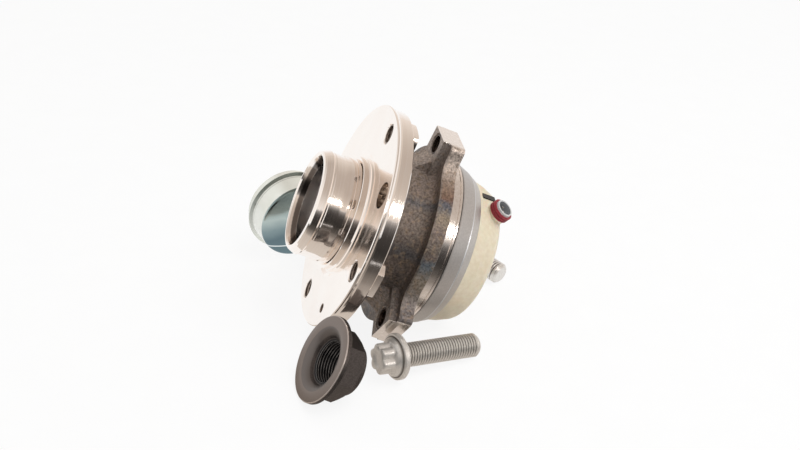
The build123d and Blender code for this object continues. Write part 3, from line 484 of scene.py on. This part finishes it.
# ---- Sensor cover, sensor and plug socket ----
# Cream glass-filled nylon, injection moulded: satin, a little see-through at its edges. The sensor and the socket
# are moulded too, satin black and grey. The pins are tinned and shine, and the red silicone seal is satin.
wear("sensor_cover", plain_finish("cream_moulded_nylon", "#DED0B5", "#E7DCC4", 2.0, 0.36, 0.0, 0.01,
                                  **{"Subsurface Weight": 0.15, "Subsurface Scale": 0.002}))
wear("speed_sensor", plain_finish("black_sensor_plastic", "#17181A", "#202123", 0.8, 0.38))
socket_plastic = plain_finish("grey_moulded_socket", "#C4C5C4", "#CFCFCD", 1.2, 0.34)
tree = socket_plastic.node_tree
mouth = round_axis(tree, (0.0778991, -0.0156586, 0.0112262), Vector((0.56646, -0.36184, 0.7404)))[1]
skin = tree.nodes["Principled BSDF"]
# Deep in the socket hardly any light comes back, so its bore is darkened.
shaded = add(tree, "Mix", {
    0: inside(tree, mouth, low=0.0039, blur=0.00003), 6: "#A0A1A3",
    7: skin.inputs["Base Color"].links[0].from_socket}, data_type="RGBA")
tree.links.new(shaded.outputs[2], skin.inputs["Base Color"])
wear("connector_socket", socket_plastic)
wear("contact_pins", plain_finish("tinned_pins", "#C9C7C0", "#D6D4CD", 0.5, 0.22, 1.0))
wear("connector_seal", plain_finish("red_silicone_seal", "#8D2A34", "#9E3540", 0.9, 0.42))


# ---- Dust cap ----
# Drawn sheet steel with blue-passivated zinc: glossy, pale green where it catches the white,
# and teal across its flat end. Its end face carries painted reflection bands and a painted glint arc, and its creases
# painted shade.
def lying(spot, bearing, fall):
    """Where a loose piece lies: its axis starts at a spot in mm, points to a bearing and falls."""
    turned = Matrix.Rotation(math.radians(bearing), 3, "Z") @ Matrix.Rotation(math.radians(fall), 3, "Y")
    return frame_at(spot, turned @ Vector((1, 0, 0)), Vector((0, 0, 1)))


BENCH_TOP = -57.5845
cap_place = lying((-25.2, 69.5, BENCH_TOP + 24.5 * math.cos(math.radians(5))), -69, 5)
zinc = bpy.data.materials.new("blue_passivated_zinc")
tree = bare_tree(zinc)
cap_axis = cap_place.to_3x3() @ Vector((1, 0, 0))
far, out = round_axis(tree, cap_place.translation, cap_axis)
here = add(tree, "TexCoord").outputs["Object"]
cloud = add(tree, "TexNoise", {"Vector": here, "Scale": 120.0, "Detail": 3.0})
pale = add(tree, "ValToRGB", [cloud], stops=[(0.3, "#F0F3EA"), (0.7, "#F9FAF4")])
# Painted reflection: the end face's teal is graded by height, from dark teal over grey-green to blue, as bands of
# reflected surroundings.
painted_reflection_height = add(tree, "SeparateXYZ", [here]).outputs["Z"]
painted_reflection_height = add(tree, "MapRange", {"Value": painted_reflection_height, "From Min": -0.055, "From Max": -0.013})
drift = add(tree, "Math", [add(tree, "Math", [cloud, 0.5], operation="SUBTRACT"), 0.12], operation="MULTIPLY")
painted_reflection_height = add(tree, "Math", [painted_reflection_height, drift], operation="ADD")
teal_and_painted_reflection = add(tree, "ValToRGB", [painted_reflection_height], stops=[
    (0.0, "#6E8389"), (0.28, "#667980"), (0.42, "#85979A"), (0.6, "#B6C3C0"), (0.74, "#9AABAA"), (0.86, "#819293"),
    (1.0, "#7D8E8E")])
# Painted reflection: a thin pale arc across the end face, a glint drawn into its colour.
painted_glint_arc = round_axis(tree, cap_place @ Vector((0, 0, 0.0446)), cap_axis)[1]
teal_and_painted_reflection = add(tree, "Mix", {0: inside(tree, painted_glint_arc, 0.0594, 0.0600, 0.00015), 6: teal_and_painted_reflection, 7: "#F4FAFA"}, data_type="RGBA")
# Painted shade: the creases above the brim are painted as darker lines, darkest towards the top.
crease_painted_shade = None
for first, last, share in ((0.0008, 0.0015, 0.85), (0.0023, 0.0027, 0.7)):
    ended = add(tree, "Math", [share, inside(tree, far, low=last)], operation="SUBTRACT")
    band = add(tree, "Math", [inside(tree, far, low=first), ended], operation="MULTIPLY")
    crease_painted_shade = band if crease_painted_shade is None else add(tree, "Math", [crease_painted_shade, band], operation="MAXIMUM")
crease_painted_shade = add(tree, "Math", [crease_painted_shade, inside(tree, painted_reflection_height, low=0.52, blur=0.35)], operation="MULTIPLY")
pale = add(tree, "Mix", {0: crease_painted_shade, 6: pale, 7: "#4B574E"}, data_type="RGBA")
end_face = inside(tree, far, low=0.0130)
skin = add(tree, "BsdfPrincipled", {
    "Base Color": add(tree, "Mix", {0: end_face, 6: pale, 7: teal_and_painted_reflection}, data_type="RGBA"), "Roughness": 0.14,
    "Metallic": add(tree, "Mix", {0: end_face, 2: 0.45, 3: 1.0})})
add(tree, "OutputMaterial", {"Surface": skin})
wear("dust_cap", zinc)
# The cap is kept out of reflections, as its green mirror image would stain the flange's face.
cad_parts["dust_cap"].visible_glossy = False


# ---- Axle nut ----
# Forged steel hexagon nut, M22 x 1.5, with a wide dished flange and a round collar. Manganese phosphate makes
# it dark brown and dull; its seat and thread crests are worn bright, and its thread roots carry painted shade.
nut_fall = math.degrees(math.atan2(8.8, 14.8))
nut_height = 21.4 * math.cos(math.radians(nut_fall)) + 2.4 * math.sin(math.radians(nut_fall))
nut_place = lying((-17.3, -72.0, BENCH_TOP + nut_height), 10, nut_fall)


def hexagon(chamfer):
    """The radius of a 30 mm hexagon at a turn, held inside its chamfer's circle."""
    def radius(turn):
        fold = (turn + math.radians(30)) % math.radians(60) - math.radians(30)
        return min(15 / math.cos(fold), chamfer)
    return radius


nut_rings = [(0, 15.8), (0, 18), (0, 20.8), (0.15, 21.2), (0.6, 21.4), (1.5, 21.4), (2.3, 21.4), (2.6, 21.1)]
nut_rings += [(3.2, 20), (4.8, 17.6)]
nut_rings += [(4.85, hexagon(17.33)), (8.5, hexagon(17.33)), (12.9, hexagon(17.33))]
nut_rings += [(12.9 + 1.5 * k / 6, hexagon(17.33 - 2.8 * k / 6)) for k in range(1, 7)]
nut_rings += [(14.4, 12.9), (14.6, 12.6), (17.2, 12.6), (17.6, 12.4), (17.8, 12), (17.8, 11.4), (17.7, 11.2)]
nut_rings += thread_rings(4.6, 17.0, 1.5, 10.2, 11.0)[::-1] + [(4.4, 10.6), (4.0, 11.4), (2.6, 12.1), (1.2, 13.8)]
nut = lathe("axle_nut_threaded", nut_place, nut_rings, around=96, loop=True)
phosphate = bpy.data.materials.new("manganese_phosphate")
tree = bare_tree(phosphate)
nut_axis = nut_place.to_3x3() @ Vector((1, 0, 0))
far, out = round_axis(tree, nut_place.translation, nut_axis)
crystal = add(tree, "TexNoise", {"Vector": add(tree, "TexCoord").outputs["Object"], "Scale": 1400.0, "Detail": 4.0})
colour = add(tree, "ValToRGB", [crystal], stops=[(0.3, "#4C4644"), (0.7, "#605A57")])
seat = add(tree, "Math", [inside(tree, out, low=0.0158, blur=0.0001), inside(tree, far, high=0.0001, blur=0.0001)],
           operation="MULTIPLY")
in_dish = add(tree, "Math", [inside(tree, out, high=0.0158, blur=0.0001), inside(tree, far, high=0.0026)],
              operation="MINIMUM")
dish = add(tree, "Math", [inside(tree, out, low=0.0122, blur=0.0003), in_dish], operation="MULTIPLY")
edge = add(tree, "Math", [inside(tree, out, low=0.02095, blur=0.0001), inside(tree, far, high=0.0005, blur=0.0001)],
           operation="MULTIPLY")
# Painted shade: the thread's roots are painted darker than the phosphate, and its crests are worn bright.
crest = add(tree, "Mix", {
    0: inside(tree, out, high=0.01028, blur=0.00005), 6: "#2C2B2C", 7: "#8E8C8B"}, data_type="RGBA")
thread = inside(tree, out, high=0.0111, blur=0.00005)
for share, worn in ((dish, "#726C69"), (seat, "#837973"), (edge, "#C9BFB8"), (thread, crest)):
    colour = add(tree, "Mix", {0: share, 6: colour, 7: worn}, data_type="RGBA")
skin = add(tree, "BsdfPrincipled", {
    "Base Color": colour, "Metallic": 0.85, "Roughness": 0.42,
    "Normal": add(tree, "Bump", {"Height": crystal, "Strength": 0.4, "Distance": 0.00004})})
add(tree, "OutputMaterial", {"Surface": skin})
nut.data.materials.append(phosphate)
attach(nut, "nut")
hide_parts("axle_nut")


# ---- Flange bolts ----
# Cold-forged M12 x 1.5 x 45 bolts with rolled threads to the flange and a six-lobed head.
# Zinc flake coating: matt silver-grey, a little warm.
bolt_fall = math.degrees(math.atan2(5.4, 45.0))
bolt_height = 11.4 * math.cos(math.radians(bolt_fall))


def lobes(tip, root):
    """The radius of a six-lobed head at a turn: notches straight up, rounded tips between."""
    def radius(turn):
        wave = (1 - math.cos(6 * turn)) / 2
        return root + (tip - root) * wave**0.55
    return radius


def flange_bolt(name, node, body, spot, bearing):
    """One bolt, where its flange's seat is on the bench and the bearing its tip points to."""
    place = lying((*spot, BENCH_TOP + bolt_height), bearing, bolt_fall)
    rings = [(-11.3, 0), (-11.25, 1.8), (-11.5, 3.2), (-11.9, 3.9), (-12, 4.6), (-12, lobes(6.6, 5.1)),
             (-11.8, lobes(7.2, 5.5)), (-11.4, lobes(7.5, 5.8)), (-8.5, lobes(7.6, 5.9)), (-6.4, lobes(7.6, 5.9)),
             (-5.9, lobes(7.7, 6.4)), (-5.6, lobes(7.9, 7.3)), (-5.4, 8.3), (-4.2, 9.3), (-3.2, 9.8),
             (-2.9, 9.95), (-2.85, 10.6), (-2.7, 11.1), (-2.3, 11.4), (-0.4, 11.4), (0, 11.1),
             (0, 8.8), (0, 6.4), (0.3, 6.0)]
    rings += thread_rings(1.0, 43.4, 1.5, 6.0, 5.18) + [(44.0, 5.5), (44.7, 4.95), (45, 4.6), (45, 2.4), (45, 0)]
    bolt = lathe(name, place, rings, around=72)
    flake = plain_finish(name + "_zinc_flake", "#DAD6D1", "#EAE7E2", 0.8, 0.4, 0.7, 0.02)
    # Painted shade: the bottom of the thread and the flange's crease are painted darker.
    tree = flake.node_tree
    far, out = round_axis(tree, place.translation, place.to_3x3() @ Vector((1, 0, 0)))
    in_thread = add(tree, "Math", [inside(tree, out, high=0.0054), inside(tree, far, high=0.0440)],
                    operation="MINIMUM")
    root = add(tree, "Math", [inside(tree, far, low=0.0), in_thread], operation="MULTIPLY")
    on_flange = add(tree, "Math", [inside(tree, out, high=0.0103), inside(tree, far, high=-0.0020)],
                    operation="MINIMUM")
    crease_painted_shade = add(tree, "Math", [inside(tree, out, low=0.0096), on_flange], operation="MULTIPLY")
    skin = tree.nodes["Principled BSDF"]
    coat = skin.inputs["Base Color"].links[0].from_socket
    for share, dark in ((root, "#6E6964"), (crease_painted_shade, "#77726D")):
        coat = add(tree, "Mix", {0: share, 6: coat, 7: dark}, data_type="RGBA")
    tree.links.new(coat.outputs[2], skin.inputs["Base Color"])
    bolt.data.materials.append(flake)
    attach(bolt, body)
    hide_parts(node)


flange_bolt("front_bolt_threaded", "front_bolt", "bolt_front", (21.7, -59.8), 21)
flange_bolt("rear_bolt_threaded", "rear_bolt", "bolt_rear", (64.5, 59.5), -52.5)
